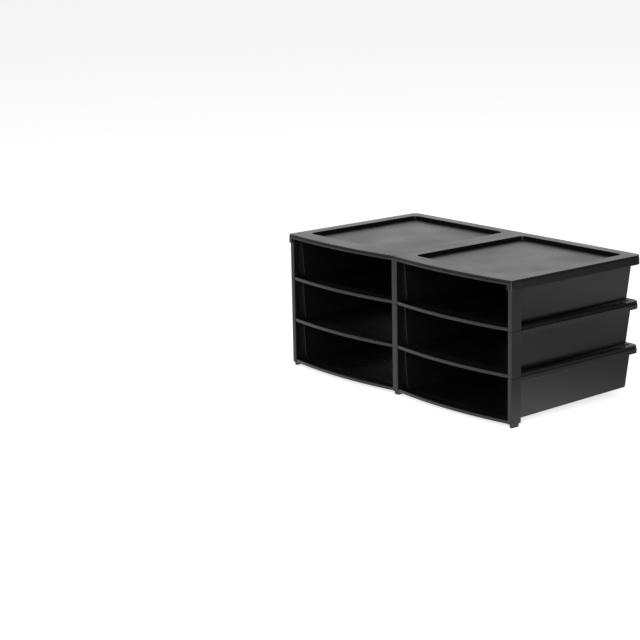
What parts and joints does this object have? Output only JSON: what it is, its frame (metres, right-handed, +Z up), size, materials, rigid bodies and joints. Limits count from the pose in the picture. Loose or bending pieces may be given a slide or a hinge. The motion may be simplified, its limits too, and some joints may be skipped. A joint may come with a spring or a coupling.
{
  "type": "cube storage unit",
  "caption": "Stackable open-front storage sorter: wide moulded trays with bowed lips stand on pegs in the tray below, under a lid with sunk panels.",
  "frame": {"origin": "on the surface that the unit stands on, below the middle of its outline", "axes": "+X to the right across both columns, +Y to the back, +Z up; the open fronts face -Y"},
  "size_m": [0.5658, 0.3134, 0.2417],
  "materials": {
    "bottom_tray_plastic": "black polypropylene, satin gloss",
    "middle_tray_plastic": "black polypropylene, satin gloss",
    "top_tray_plastic": "black polypropylene, satin gloss",
    "lid_plastic": "black polypropylene, satin gloss"
  },
  "bodies": {
    "bottom_tray": {"bottom_tray": "bottom_tray_plastic"},
    "middle_tray": {"middle_tray": "middle_tray_plastic"},
    "top_tray": {"top_tray": "top_tray_plastic"},
    "lid": {"lid": "lid_plastic"}
  },
  "joints": [
    {"name": "middle_tray_lift", "type": "slide", "parent": "bottom_tray", "child": "middle_tray", "axis": [0, 0, 1], "range_m": [0, 0.06]},
    {"name": "top_tray_lift", "type": "slide", "parent": "middle_tray", "child": "top_tray", "axis": [0, 0, 1], "range_m": [0, 0.06]},
    {"name": "lid_lift", "type": "slide", "parent": "top_tray", "child": "lid", "axis": [0, 0, 1], "range_m": [0, 0.06]}
  ]
}
